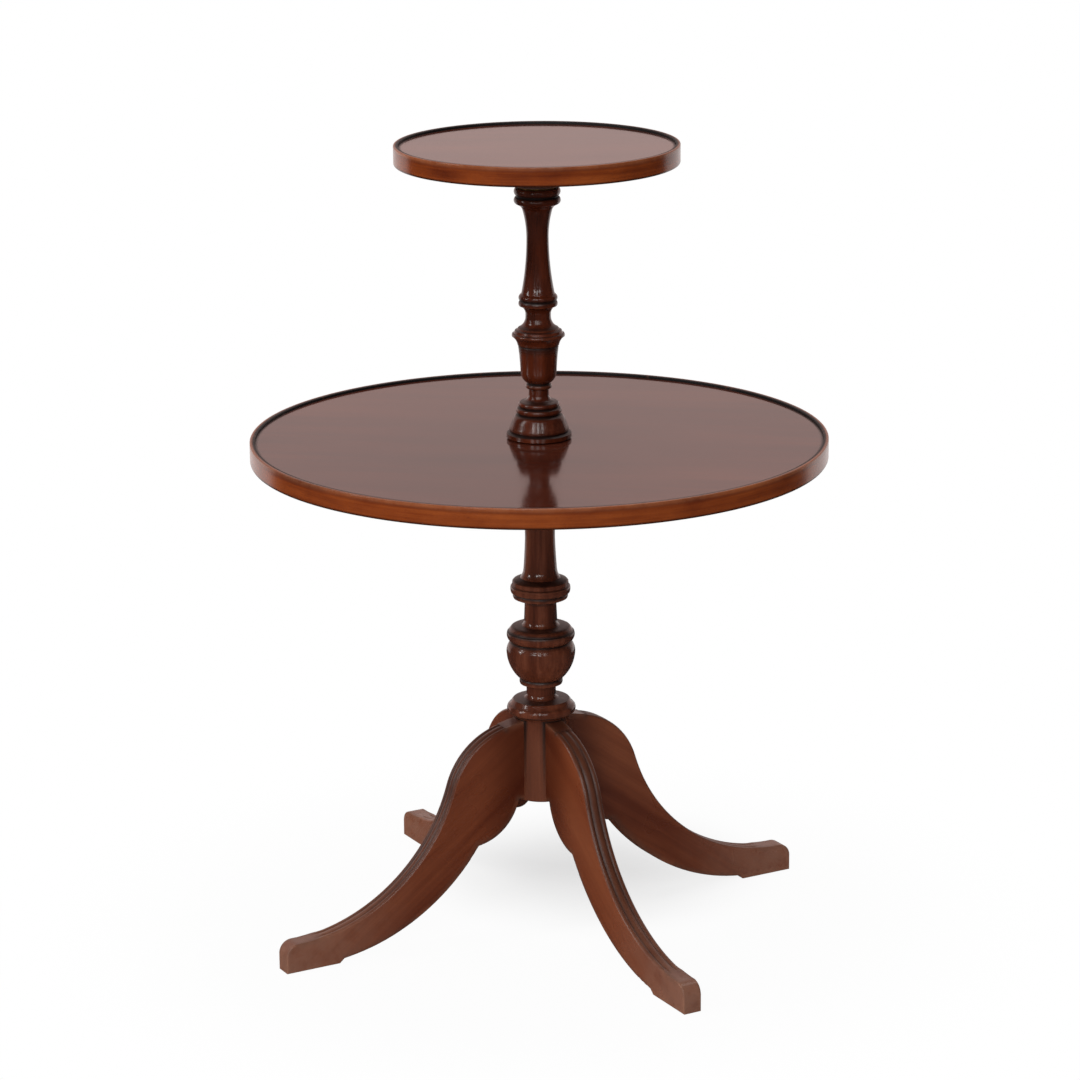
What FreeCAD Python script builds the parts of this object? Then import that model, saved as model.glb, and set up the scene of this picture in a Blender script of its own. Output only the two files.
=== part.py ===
import FreeCAD, Part
import math
import os

import Sketcher

from FreeCAD import Placement, Rotation, Vector

# Mahogany two-tier dumb waiter, in millimetres. Z is up, the origin is on the floor
# under the column, and the legs stand on the diagonals. The stand is four sabre legs
# dovetailed into a turned column. Each round tier turns on a bush about that column.

doc = FreeCAD.newDocument("dumb_waiter")
sheet = doc.addObject("Spreadsheet::Sheet", "Sizes")
bodies = []

# ---------------------------------------------------------------- driving dimensions

tier_sizes = {
    "lower_rim_radius": 305.0,
    "lower_rim_width": 5.5,
    "lower_rim_depth": 21.8,
    "lower_rim_drop": 0.5,
    "lower_board_thick": 18.6,
    "lower_board_hole": 12.6,
    "tray_recess_radius": 35.0,
    "tray_recess_depth": 0.5,
    "upper_rim_radius": 148.7,
    "upper_rim_width": 5.0,
    "upper_rim_depth": 20.3,
    "upper_rim_drop": 1.3,
    "upper_board_thick": 16.3,
    "rim_round": 1.9,
    "rim_arris": 1.2,
    "bearer_radius": 70.0,
    "bearer_thick": 19.95,
    "bearer_round": 8.0,
    "boss_radius": 22.0,
    "boss_step": 3.0,
    "boss_spread": 47.0,
    "boss_edge": 14.0,
    "boss_cove_radius": 34.0,
    "boss_thick": 25.65,
}

pivot_sizes = {
    "glue_gap": 0.05,
    "turning_gap": 0.05,
    "foot_gap": 0.3,
    "hub_foot": 143.0,
    "lower_column_length": 358.0,
    "upper_column_length": 266.6,
    "lower_shoulder_radius": 22.2,
    "upper_shoulder_radius": 22.6,
    "stud_radius": 6.0,
    "stud_below": 51.0,
    "stud_above": 29.0,
    "bush_radius": 12.0,
    "washer_thick": 1.0,
    "lower_washer_radius": 21.0,
    "pin_radius": 5.0,
    "pin_below": 38.5,
    "pin_above": 20.5,
    "bore_spare": 0.5,
    "end_chamfer": 0.8,
    "upper_bush_radius": 8.0,
    "upper_bush_length": 20.5,
    "upper_washer_radius": 20.0,
}

screw_sizes = {
    "screw_radius": 2.1,
    "screw_head_radius": 4.2,
    "screw_head_depth": 2.6,
    "screw_point": 4.0,
    "screw_gap": 0.1,
    "lower_screw_pitch": 48.0,
    "lower_screw_sink": 1.0,
    "lower_screw_length": 30.0,
    "lower_screw_count": 6,
    "upper_screw_pitch": 36.0,
    "upper_screw_sink": 12.0,
    "upper_screw_length": 24.0,
    "upper_screw_count": 4,
}

leg_sizes = {
    "leg_count": 4,
    "leg_width": 21.0,
    "leg_arris": 1.2,
    "root_seat": 27.6,
    "root_foot": 145.0,
    "root_top": 232.4,
    "lobe_start": 34.0,
    "lobe_radius": 57.4,
    "cusp_out": 83.4,
    "cusp_high": 100.9,
    "under_sweep_radius": 231.0,
    "heel_out": 246.5,
    "heel_high": 4.7,
    "sole_start": 252.0,
    "toe_out": 313.6,
    "toe_high": 18.0,
    "toe_round": 14.0,
    "sweep_centre_out": 300.2,
    "sweep_centre_high": 227.4,
    "sweep_radius": 196.1,
    "knee_centre_out": 32.1,
    "knee_centre_high": 145.4,
    "knee_out": 49.2,
    "tongue_length": 12.0,
    "tongue_neck": 10.0,
    "tongue_tail": 13.0,
    "tongue_top": 222.0,
}

reed_sizes = {
    "middle_reed_half": 4.5,
    "middle_reed_radius": 7.9,
    "groove_drop": 1.45,
    "side_reed_half": 10.8,
    "side_reed_radius": 3.65,
    "side_drop": 3.3,
    "reed_margin": 1.5,
    "reed_clear": 3.0,
    "fade_start": 262.0,
    "fade_end": 289.0,
    "fade_radius": 60.0,
}

# Turned outlines: name, radius, height above the foot of the piece, and the rise of
# the arc to the next point, outward for a bead and inward (negative) for a cove.

lower_turning = [
    ("hub_foot", 28.6, 0.0, 0),
    ("hub_edge", 29.5, 1.0, 0),
    ("hub_top", 29.5, 89.6, -1.0),
    ("disc_under", 33.6, 94.4, 0),
    ("disc_quirk", 33.6, 95.2, 0),
    ("disc_lip", 36.3, 95.7, 0.6),
    ("disc_edge", 36.4, 101.4, 0),
    ("disc_arris", 35.0, 103.2, 0),
    ("disc_slope", 32.8, 105.0, 0),
    ("disc_top", 31.6, 107.4, 0),
    ("disc_crown", 30.2, 109.0, 0),
    ("disc_flat", 18.8, 110.2, -0.6),
    ("low_neck", 15.8, 115.0, 0),
    ("low_neck_top", 15.8, 124.6, 0),
    ("urn_collar", 22.6, 126.4, 0.7),
    ("urn_foot", 22.5, 132.0, 3.1),
    ("urn_widest", 36.8, 160.5, 1.5),
    ("urn_quirk", 32.5, 173.6, 0),
    ("shoulder_low", 33.2, 174.4, 1.7),
    ("shoulder_edge", 35.9, 184.2, 0),
    ("shoulder_arris", 34.9, 184.8, 0),
    ("shoulder_slope", 34.5, 185.8, 0),
    ("shoulder_top", 31.6, 189.6, 0),
    ("shoulder_crown", 29.8, 190.4, 0),
    ("shoulder_flat", 20.4, 191.4, -0.9),
    ("mid_neck", 17.7, 199.0, 0),
    ("mid_neck_top", 16.8, 220.4, 0),
    ("ring_under", 26.6, 221.0, 0),
    ("ring_low", 28.8, 222.0, 0.4),
    ("ring_low_edge", 29.4, 226.0, 0),
    ("ring_quirk", 29.0, 226.8, 0),
    ("ring_wide", 31.4, 228.2, 0.5),
    ("ring_wide_edge", 31.8, 234.8, 0),
    ("ring_step", 30.2, 236.2, 0),
    ("ring_high", 30.0, 240.2, 0),
    ("ring_crown", 28.6, 241.8, 0),
    ("ring_flat", 21.4, 244.2, -0.5),
    ("shaft_foot", 17.9, 253.2, -0.2),
    ("shaft_waist", 16.0, 288.0, 0),
    ("shaft_top", 16.2, 328.0, -1.3),
    ("collar_low", 22.0, 340.0, 2.0),
    ("collar_quirk", 22.2, 347.6, 0),
    ("collar_high", 22.2, 348.8, 1.9),
    ("collar_top", 22.6, 357.6, 0),
]

upper_turning = [
    ("foot_edge", 33.0, 0.0, 0),
    ("plinth_low", 34.3, 1.2, 0),
    ("plinth_high", 34.3, 5.2, 0),
    ("plinth_top", 32.6, 6.4, 0),
    ("bell_foot", 30.6, 6.9, -0.7),
    ("bell_top", 23.6, 25.0, 0),
    ("bell_quirk", 21.6, 25.8, 0),
    ("low_ring", 22.4, 26.4, 1.8),
    ("low_ring_top", 22.2, 32.4, 0),
    ("ring_quirk", 20.2, 33.2, 1.5),
    ("high_ring_top", 20.0, 38.6, 0),
    ("neck_cove", 19.0, 39.0, -2.4),
    ("neck", 10.6, 46.5, 0),
    ("neck_top", 10.6, 52.4, 0),
    ("bead", 12.4, 53.0, 1.4),
    ("bead_top", 12.4, 57.8, 0),
    ("urn_foot", 11.6, 58.6, 2.3),
    ("urn_full", 19.0, 72.2, -0.2),
    ("urn_lip", 21.2, 98.0, 0),
    ("lip_quirk", 20.6, 98.9, 0),
    ("lip_foot", 21.9, 99.9, -0.8),
    ("disc_under", 26.4, 108.2, 0),
    ("disc_edge", 27.9, 109.4, 0.3),
    ("disc_top", 27.4, 112.0, 0),
    ("disc_arris", 26.0, 112.8, 0),
    ("disc_slope", 24.6, 115.4, -0.4),
    ("disc_crown", 21.2, 118.2, -1.8),
    ("mid_neck", 13.4, 129.0, 0),
    ("mid_neck_top", 13.4, 133.4, -1.7),
    ("mid_ring", 20.0, 141.7, 0.9),
    ("mid_quirk", 19.3, 147.0, 0),
    ("top_ring", 19.6, 147.8, 0.9),
    ("top_ring_edge", 19.6, 152.7, 0),
    ("shaft_foot", 17.4, 155.2, -1.45),
    ("waist", 11.6, 214.1, -1.1),
    ("shaft_top", 15.9, 244.0, -0.8),
    ("collar_low", 22.1, 249.2, 2.4),
    ("collar_quirk", 22.2, 257.2, 0),
    ("collar_high", 22.4, 258.4, 1.7),
    ("collar_top", 23.0, 266.2, 0),
]


# ---------------------------------------------------------------- sizes in the sheet

class Size:
    """A length: its value now, and the expression that keeps it up to date."""

    def __init__(self, value, text):
        self.value = value
        self.text = text

    def __add__(self, other):
        return combine(self, "+", other, self.value + as_size(other).value)

    def __sub__(self, other):
        return combine(self, "-", other, self.value - as_size(other).value)

    def __mul__(self, other):
        return combine(self, "*", other, self.value * as_size(other).value)

    def __truediv__(self, other):
        return combine(self, "/", other, self.value / as_size(other).value)

    def __neg__(self):
        return as_size(0.0) - self

    def root(self):
        return Size(math.sqrt(self.value), "sqrt(%s)" % self.text)


def as_size(number):
    """A plain number as a Size."""
    return number if isinstance(number, Size) else Size(number, repr(number))


def combine(first, sign, second, value):
    """Join two expressions and their value."""
    return Size(value, "(%s %s %s)" % (first.text, sign, as_size(second).text))


def put(name, value):
    """Keep one driving dimension in the sheet, under its own alias."""
    row = len(cells) + 1
    sheet.set("A%d" % row, name)
    sheet.set("B%d" % row, str(value))
    sheet.setAlias("B%d" % row, name)
    cells[name] = Size(value, "Sizes." + name)
    return cells[name]


cells = {}
zero = as_size(0.0)
for table in (tier_sizes, pivot_sizes, screw_sizes, leg_sizes, reed_sizes):
    for name, value in table.items():
        put(name, value)

# Heights of the stack, from the floor up.
lower_shoulder = cells["hub_foot"] + cells["lower_column_length"]
bearer_foot = lower_shoulder + cells["washer_thick"] + cells["turning_gap"]
lower_board_foot = bearer_foot + cells["bearer_thick"]
lower_board_top = lower_board_foot + cells["lower_board_thick"]
upper_column_foot = lower_board_top + cells["foot_gap"]
upper_shoulder = upper_column_foot + cells["upper_column_length"]
boss_foot = upper_shoulder + cells["washer_thick"] + cells["turning_gap"]
upper_board_foot = boss_foot + cells["boss_thick"]


# ---------------------------------------------------------------- sketches

def new_body(label, foot=zero, turn=0.0):
    """Empty body that stands at a height, turned about the column."""
    body = doc.addObject("PartDesign::Body", label)
    body.Label = label
    body.Placement = Placement(Vector(0, 0, foot.value), Rotation(Vector(0, 0, 1), turn))
    body.setExpression(".Placement.Base.z", foot.text)
    bodies.append(body)
    return body


def origin_item(body, role):
    """One of the body's own planes or axes."""
    return next(item for item in body.Origin.OriginFeatures if item.Role == role)


def new_sketch(body, name, role, **shifts):
    """Sketch on one of the body's origin planes, shifted by x, y or z if given."""
    sketch = body.newObject("Sketcher::SketchObject", name)
    sketch.AttachmentSupport = [(origin_item(body, role), "")]
    sketch.MapMode = "FlatFace"
    for axis, shift in shifts.items():
        sketch.setExpression(".AttachmentOffset.Base." + axis, shift.text)
    return sketch


def edge_between(start, end, radius):
    """Line or arc, and which of its ends the outline enters and leaves by."""
    if not radius:
        return Part.LineSegment(start, end), 1, 2
    chord = end - start
    left = Vector(-chord.y, chord.x, 0).normalize()
    back = math.sqrt(radius ** 2 - (chord.Length / 2) ** 2)
    centre = (start + end) * 0.5 + left * math.copysign(back, radius)
    ends = (start, end) if radius > 0 else (end, start)
    first, last = [math.atan2(p.y - centre.y, p.x - centre.x) for p in ends]
    if last < first:
        last += 2 * math.pi
    circle = Part.Circle(centre, Vector(0, 0, 1), abs(radius))
    arc = Part.ArcOfCircle(circle, first, last)
    return (arc, 1, 2) if radius > 0 else (arc, 2, 1)


def hold(sketch, constraint, name, driven):
    """Add a named constraint whose value the sheet drives."""
    index = sketch.addConstraint(constraint)
    sketch.renameConstraint(index, name)
    sketch.setExpression("Constraints." + name, driven.text)


def hold_point(sketch, edge, end, name, across, up):
    """Hold a corner at its distances from the sketch's two axes."""
    for kind, axis, word, given in (("DistanceX", -2, "_across", across),
                                    ("DistanceY", -1, "_up", up)):
        if given is zero:
            sketch.addConstraint(Sketcher.Constraint("PointOnObject", edge, end, axis))
        else:
            held = Sketcher.Constraint(kind, -1, 1, edge, end, given.value)
            hold(sketch, held, name + word, given)


def draw(sketch, corners, closed=True):
    """Outline through named corners. Each holds its name, its distances from the two
    axes, and the radius of the arc to the next corner: none for a line, above zero to
    bulge to the right of the way travelled, below zero to the left."""
    points = [Vector(x.value, y.value, 0) for _, x, y, _ in corners]
    points.append(points[0])
    count = len(corners) if closed else len(corners) - 1
    edges = []
    for i in range(count):
        radius = corners[i][3]
        edge, enter, leave = edge_between(points[i], points[i + 1], radius and radius.value)
        edges.append((sketch.addGeometry(edge, False), enter, leave))
    for i in range(count if closed else count - 1):
        after = edges[(i + 1) % count]
        joined = Sketcher.Constraint("Coincident", edges[i][0], edges[i][2], *after[:2])
        sketch.addConstraint(joined)
    for (name, x, y, radius), (edge, enter, _) in zip(corners, edges):
        hold_point(sketch, edge, enter, name, x, y)
        if radius:
            held = Sketcher.Constraint("Radius", edge, abs(radius.value))
            hold(sketch, held, name + "_round", radius if radius.value > 0 else -radius)
    if not closed:
        name, x, y, _ = corners[-1]
        hold_point(sketch, edges[-1][0], edges[-1][2], name, x, y)


def draw_circle(sketch, name, radius):
    """Circle about the sketch's origin."""
    edge = sketch.addGeometry(Part.Circle(Vector(0, 0, 0), Vector(0, 0, 1), radius.value), False)
    sketch.addConstraint(Sketcher.Constraint("Coincident", edge, 3, -1, 1))
    hold(sketch, Sketcher.Constraint("Radius", edge, radius.value), name, radius)


def draw_box(sketch, near, far, half):
    """Rectangle from near to far out along X, to both sides of it."""
    draw(sketch, [
        ("near_right", near, -half, None),
        ("far_right", far, -half, None),
        ("far_left", far, half, None),
        ("near_left", near, half, None),
    ])


# ---------------------------------------------------------------- features

def revolve(body, sketch, cut=False):
    """Turn an outline about its sketch's upright axis, to add it or to cut it."""
    kind = "PartDesign::Groove" if cut else "PartDesign::Revolution"
    turned = body.newObject(kind, "Turning")
    turned.Profile = sketch
    turned.ReferenceAxis = (sketch, ["V_Axis"])
    turned.Angle = 360
    return turned


def pad(body, sketch, length, symmetric=False):
    """Raise a sketch by a length, to one side or evenly to both."""
    raised = body.newObject("PartDesign::Pad", "Pad")
    raised.Profile = sketch
    raised.Midplane = symmetric
    raised.setExpression("Length", length.text)
    return raised


def pocket_up(body, sketch, depth):
    """Cut upwards from a sketch under the solid. Its volume shows that it cut."""
    doc.recompute()
    before = body.Shape.Volume
    cut = body.newObject("PartDesign::Pocket", "Pocket")
    cut.Profile = sketch
    cut.Reversed = True
    cut.setExpression("Length", depth.text)
    doc.recompute()
    if body.Shape.Volume >= before:
        raise RuntimeError("a pocket cuts nothing in " + body.Label)
    return cut


def repeat_round(body, features, count):
    """Repeat features evenly round the column."""
    repeated = body.newObject("PartDesign::PolarPattern", "Pattern")
    repeated.Originals = features
    repeated.Axis = (origin_item(body, "Z_Axis"), [""])
    repeated.Angle = 360
    repeated.setExpression("Occurrences", count.text)
    body.Tip = repeated


# ---------------------------------------------------------------- turned pieces

def turned_corners(label, stations, last):
    """Corners of a turned outline, with its sizes put in the sheet. The corner last
    is the one that follows, where the outline's final arc would end."""
    held = []
    for name, radius, height, rise in stations:
        stem = "%s_%s" % (label, name)
        up = put(stem + "_high", height) if height else zero
        held.append((name, put(stem + "_out", radius), up, rise))
    held.append(last)
    corners = []
    for (name, x, y, rise), (_, x2, y2, _) in zip(held, held[1:]):
        radius = None
        if rise:
            depth = put("%s_%s_rise" % (label, name), abs(rise))
            chord = (x2 - x) * (x2 - x) + (y2 - y) * (y2 - y)
            radius = chord / (depth * 8) + depth / 2
        corners.append((name, x, y, -radius if rise < 0 else radius))
    return corners


def lower_column():
    """Hub, disc, urn, ring and shaft in one turning, bored above for the stud."""
    body = new_body("lower_column", cells["hub_foot"], 45.0)
    length = cells["lower_column_length"]
    bore = cells["stud_radius"] + cells["glue_gap"]
    bore_foot = length - cells["stud_below"] - cells["bore_spare"]
    top = ("top_edge", cells["lower_shoulder_radius"], length, None)
    outline = new_sketch(body, "Outline", "XZ_Plane")
    draw(outline, [
        ("axis_foot", zero, zero, None),
        *turned_corners("lower_column", lower_turning, top),
        top,
        ("bore_mouth", bore, length, None),
        ("bore_foot", bore, bore_foot, None),
        ("axis_bore", zero, bore_foot, None),
    ])
    revolve(body, outline)
    leg_seats(body)


def leg_seats(body):
    """Four flats on the hub, each with a dovetail socket that is open below."""
    seat = cells["root_seat"]
    seat_height = cells["root_top"] - cells["hub_foot"]
    flat = new_sketch(body, "Seat", "XY_Plane")
    draw_box(flat, seat, seat + cells["tongue_length"], cells["leg_width"] / 2)
    flat_cut = pocket_up(body, flat, seat_height)
    gap = cells["glue_gap"]
    socket = new_sketch(body, "Socket", "XY_Plane")
    draw_dovetail(socket, gap)
    socket_height = cells["tongue_top"] - cells["hub_foot"] + gap
    socket_cut = pocket_up(body, socket, socket_height)
    repeat_round(body, [flat_cut, socket_cut], cells["leg_count"])


def draw_dovetail(sketch, gap):
    """Section of the leg's tongue, made larger all round by a gap for its socket."""
    mouth = cells["root_seat"]
    end = mouth - cells["tongue_length"] - gap
    neck = cells["tongue_neck"] / 2 + gap
    tail = cells["tongue_tail"] / 2 + gap
    draw(sketch, [
        ("tail_right", end, -tail, None),
        ("neck_right", mouth, -neck, None),
        ("neck_left", mouth, neck, None),
        ("tail_left", end, tail, None),
    ])


def upper_column():
    """Plinth, bell, vases and collar in one turning, bored at both ends."""
    body = new_body("upper_column", upper_column_foot)
    length = cells["upper_column_length"]
    stud_bore = cells["stud_radius"] + cells["glue_gap"]
    stud_end = cells["stud_above"] + cells["bore_spare"]
    pin_bore = cells["pin_radius"] + cells["glue_gap"]
    pin_foot = length - cells["pin_below"] - cells["bore_spare"]
    top = ("top_edge", cells["upper_shoulder_radius"], length, None)
    outline = new_sketch(body, "Outline", "XZ_Plane")
    draw(outline, [
        ("axis_stud", zero, stud_end, None),
        ("stud_end", stud_bore, stud_end, None),
        ("stud_mouth", stud_bore, zero, None),
        *turned_corners("upper_column", upper_turning, top),
        top,
        ("pin_mouth", pin_bore, length, None),
        ("pin_foot", pin_bore, pin_foot, None),
        ("axis_pin", zero, pin_foot, None),
    ])
    revolve(body, outline)


# ---------------------------------------------------------------- legs

def circle_height(centre, radius, out, above):
    """Height of a circle at a distance out, on its upper or its lower side."""
    reach = (radius * radius - (out - centre[0]) * (out - centre[0])).root()
    return centre[1] + reach if above else centre[1] - reach


def leg_top():
    """Knee and sweep of the leg's top: two circles that touch, and where they do."""
    sweep_centre = (cells["sweep_centre_out"], cells["sweep_centre_high"])
    knee_centre = (cells["knee_centre_out"], cells["knee_centre_high"])
    dx = sweep_centre[0] - knee_centre[0]
    dy = sweep_centre[1] - knee_centre[1]
    apart = (dx * dx + dy * dy).root()
    knee_radius = apart - cells["sweep_radius"]
    shin = (knee_centre[0] + dx * knee_radius / apart, knee_centre[1] + dy * knee_radius / apart)
    return sweep_centre, knee_centre, knee_radius, shin


def leg(label, turn):
    """Sabre leg: scalloped knee, reeded top, block foot and dovetail tongue."""
    body = new_body(label, zero, turn)
    side = new_sketch(body, "Side", "XZ_Plane")
    draw(side, leg_outline())
    blank = pad(body, side, cells["leg_width"], symmetric=True)
    soften(body, blank)
    section = new_sketch(body, "Tongue", "XY_Plane", z=cells["root_foot"])
    draw_dovetail(section, zero)
    pad(body, section, cells["tongue_top"] - cells["root_foot"])
    reeds(body)


def leg_outline():
    """Side of the leg, from the foot of its root round by the sole and the knee."""
    sweep_centre, knee_centre, knee_radius, shin = leg_top()
    foot_high = sweep_centre[1] - cells["sweep_radius"]
    knee_high = circle_height(knee_centre, knee_radius, cells["knee_out"], above=True)
    return [
        ("root_foot", cells["root_seat"], cells["root_foot"], None),
        ("lobe", cells["lobe_start"], cells["root_foot"], cells["lobe_radius"]),
        ("cusp", cells["cusp_out"], cells["cusp_high"], cells["under_sweep_radius"]),
        ("heel", cells["heel_out"], cells["heel_high"], None),
        ("sole", cells["sole_start"], zero, None),
        ("toe_foot", cells["toe_out"], zero, None),
        ("toe", cells["toe_out"], cells["toe_high"], cells["toe_round"]),
        ("foot", sweep_centre[0], foot_high, -cells["sweep_radius"]),
        ("shin", shin[0], shin[1], knee_radius),
        ("knee", cells["knee_out"], knee_high, None),
        ("root_top", cells["root_seat"], cells["root_top"], None),
    ]


def soften(body, blank):
    """Round the long edges of the leg, all but those against the hub."""
    doc.recompute()
    half = cells["leg_width"].value / 2
    seat = cells["root_seat"].value
    names = []
    for i, edge in enumerate(blank.Shape.Edges):
        box = edge.BoundBox
        on_side = box.YLength < 0.01 and abs(abs(box.YMin) - half) < 0.01
        on_toe = box.ZMax > 1 and abs(box.XMin - cells["toe_out"].value) < 0.01
        if (on_side and box.XMax > seat + 0.01) or (on_toe and not on_side):
            names.append("Edge%d" % (i + 1))
    rounded = body.newObject("PartDesign::Fillet", "Arrises")
    rounded.Base = (blank, names)
    rounded.setExpression("Radius", cells["leg_arris"].text)


def reeds(body):
    """Three reeds cut along the leg's top, from a square stop to a fade at the foot."""
    sweep_centre, knee_centre, knee_radius, shin = leg_top()
    start_out = cells["knee_out"]
    start_high = circle_height(knee_centre, knee_radius, start_out, above=True)
    fade_out = cells["fade_start"]
    fade_high = circle_height(sweep_centre, cells["sweep_radius"], fade_out, above=False)
    share = cells["fade_radius"] / cells["sweep_radius"]
    fade_centre = (fade_out + (sweep_centre[0] - fade_out) * share,
                   fade_high + (sweep_centre[1] - fade_high) * share)
    end_high = circle_height(fade_centre, cells["fade_radius"], cells["fade_end"], above=False)
    route = new_sketch(body, "Route", "XZ_Plane")
    draw(route, [
        ("start", start_out, start_high, -knee_radius),
        ("shin", shin[0], shin[1], cells["sweep_radius"]),
        ("fade", fade_out, fade_high, cells["fade_radius"]),
        ("end", cells["fade_end"], end_high, None),
    ], closed=False)
    section = new_sketch(body, "Reeds", "YZ_Plane", y=start_high, z=start_out)
    slope = "asin(%s)" % ((start_out - knee_centre[0]) / knee_radius).text
    section.AttachmentOffset = Placement(Vector(0, 0, 0), Rotation(Vector(1, 0, 0), 10))
    section.setExpression(".AttachmentOffset.Rotation.Angle", slope)
    draw(section, reed_section())
    cut = body.newObject("PartDesign::SubtractivePipe", "Reeding")
    cut.Profile = section
    cut.Spine = route


def reed_section():
    """What the reeding cutter takes: all that lies above three rounds side by side."""
    edge = cells["side_reed_half"]
    wide = cells["leg_width"] / 2 + cells["reed_margin"]
    groove = cells["middle_reed_half"]
    groove_depth = -cells["groove_drop"]
    side_depth = -cells["side_drop"]
    side_radius = cells["side_reed_radius"]
    return [
        ("left_out", -wide, side_depth, None),
        ("left_edge", -edge, side_depth, -side_radius),
        ("left_groove", -groove, groove_depth, -cells["middle_reed_radius"]),
        ("right_groove", groove, groove_depth, -side_radius),
        ("right_edge", edge, side_depth, None),
        ("right_out", wide, side_depth, None),
        ("right_top", wide, cells["reed_clear"], None),
        ("left_top", -wide, cells["reed_clear"], None),
    ]


# ---------------------------------------------------------------- tiers

def rim(label, name, board_foot):
    """Upright strip round a board, rounded on top, with its lower arris eased."""
    body = new_body(label, board_foot - cells[name + "_drop"])
    outer = cells[name + "_radius"]
    inner = outer - cells[name + "_width"]
    top = cells[name + "_depth"]
    curve = cells["rim_round"]
    arris = cells["rim_arris"]
    outline = new_sketch(body, "Outline", "XZ_Plane")
    draw(outline, [
        ("inner_foot", inner, zero, None),
        ("outer_foot", outer - arris, zero, arris),
        ("outer_low", outer, arris, None),
        ("outer_high", outer, top - curve, curve),
        ("outer_top", outer - curve, top, None),
        ("inner_top", inner + curve, top, curve),
        ("inner_high", inner, top - curve, None),
    ])
    revolve(body, outline)


def lower_board():
    """Lower shelf, sunk a little under the upper column, with a hole for the bush."""
    body = new_body("lower_tier_board", lower_board_foot)
    edge = cells["lower_rim_radius"] - cells["lower_rim_width"] - cells["glue_gap"]
    hole = cells["lower_board_hole"]
    recess = cells["tray_recess_radius"]
    top = cells["lower_board_thick"]
    recess_floor = top - cells["tray_recess_depth"]
    outline = new_sketch(body, "Outline", "XZ_Plane")
    draw(outline, [
        ("hole_foot", hole, zero, None),
        ("edge_foot", edge, zero, None),
        ("edge_top", edge, top, None),
        ("recess_top", recess, top, None),
        ("recess_floor", recess, recess_floor, None),
        ("hole_top", hole, recess_floor, None),
    ])
    revolve(body, outline)
    foot = cells["lower_screw_sink"] - cells["bearer_thick"]
    screws(body, "lower_screw", foot, cells["screw_gap"], cut=True)


def upper_board():
    """Upper shelf, whole above, with blind holes for its screws below."""
    body = new_body("upper_tier_board", upper_board_foot)
    disc = new_sketch(body, "Disc", "XY_Plane")
    edge = cells["upper_rim_radius"] - cells["upper_rim_width"] - cells["glue_gap"]
    draw_circle(disc, "edge", edge)
    pad(body, disc, cells["upper_board_thick"])
    foot = cells["upper_screw_sink"] - cells["boss_thick"]
    screws(body, "upper_screw", foot, cells["screw_gap"], cut=True)


def bearer():
    """Turned disc under the lower shelf, which gives it a long bearing."""
    body = new_body("lower_tier_bearer", bearer_foot)
    bore = cells["bush_radius"] + cells["turning_gap"]
    outer = cells["bearer_radius"]
    top = cells["bearer_thick"]
    curve = cells["bearer_round"]
    outline = new_sketch(body, "Outline", "XZ_Plane")
    draw(outline, [
        ("bore_foot", bore, zero, None),
        ("outer_foot", outer - curve, zero, curve),
        ("outer_low", outer, curve, None),
        ("outer_top", outer, top, None),
        ("bore_top", bore, top, None),
    ])
    revolve(body, outline)
    screws(body, "lower_screw", cells["lower_screw_sink"], cells["screw_gap"], cut=True)


def boss():
    """Turned block under the upper shelf, bored blind for the bush."""
    body = new_body("upper_tier_boss", boss_foot)
    bore = cells["upper_bush_radius"] + cells["glue_gap"]
    bore_top = cells["upper_bush_length"] + cells["bore_spare"]
    top = cells["boss_thick"]
    outline = new_sketch(body, "Outline", "XZ_Plane")
    draw(outline, [
        ("axis_bore", zero, bore_top, None),
        ("bore_top", bore, bore_top, None),
        ("bore_foot", bore, zero, None),
        ("foot_edge", cells["boss_radius"], zero, None),
        ("step", cells["boss_radius"], cells["boss_step"], -cells["boss_cove_radius"]),
        ("spread", cells["boss_spread"], cells["boss_edge"], None),
        ("outer_top", cells["boss_spread"], top, None),
        ("axis_top", zero, top, None),
    ])
    revolve(body, outline)
    screws(body, "upper_screw", cells["upper_screw_sink"], cells["screw_gap"], cut=True)


# ---------------------------------------------------------------- pivots and screws

def ring(label, foot, inner, outer, length):
    """Plain ring or sleeve."""
    body = new_body(label, foot)
    section = new_sketch(body, "Section", "XY_Plane")
    draw_circle(section, "outer", outer)
    draw_circle(section, "inner", inner)
    pad(body, section, length)


def rod(label, foot, radius, length):
    """Steel rod with chamfered ends."""
    body = new_body(label, foot)
    ease = cells["end_chamfer"]
    outline = new_sketch(body, "Outline", "XZ_Plane")
    draw(outline, [
        ("axis_foot", zero, zero, None),
        ("foot", radius - ease, zero, None),
        ("low", radius, ease, None),
        ("high", radius, length - ease, None),
        ("top", radius - ease, length, None),
        ("axis_top", zero, length, None),
    ])
    revolve(body, outline)


def screws(body, name, foot, gap, cut=False):
    """Circle of countersunk screws with their heads down, or the holes they pass."""
    upright = new_sketch(body, "Screw", "XZ_Plane", x=cells[name + "_pitch"])
    head = cells["screw_head_radius"] + gap
    shank = cells["screw_radius"] + gap
    neck = foot + cells["screw_head_depth"] + gap
    tip = foot + cells[name + "_length"] + gap
    upper = [
        ("neck", shank, neck, None),
        ("point", shank, tip - cells["screw_point"], None),
        ("tip", zero, tip, None),
    ]
    if cut:
        mouth = foot - cells["upper_screw_sink"]
        lower = [
            ("axis_mouth", zero, mouth, None),
            ("mouth", head, mouth, None),
            ("head_edge", head, foot + gap, None),
        ]
    else:
        lower = [
            ("axis_foot", zero, foot, None),
            ("head_edge", head, foot, None),
        ]
    draw(upright, lower + upper)
    turned = revolve(body, upright, cut)
    repeat_round(body, [turned], cells[name + "_count"])


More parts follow.
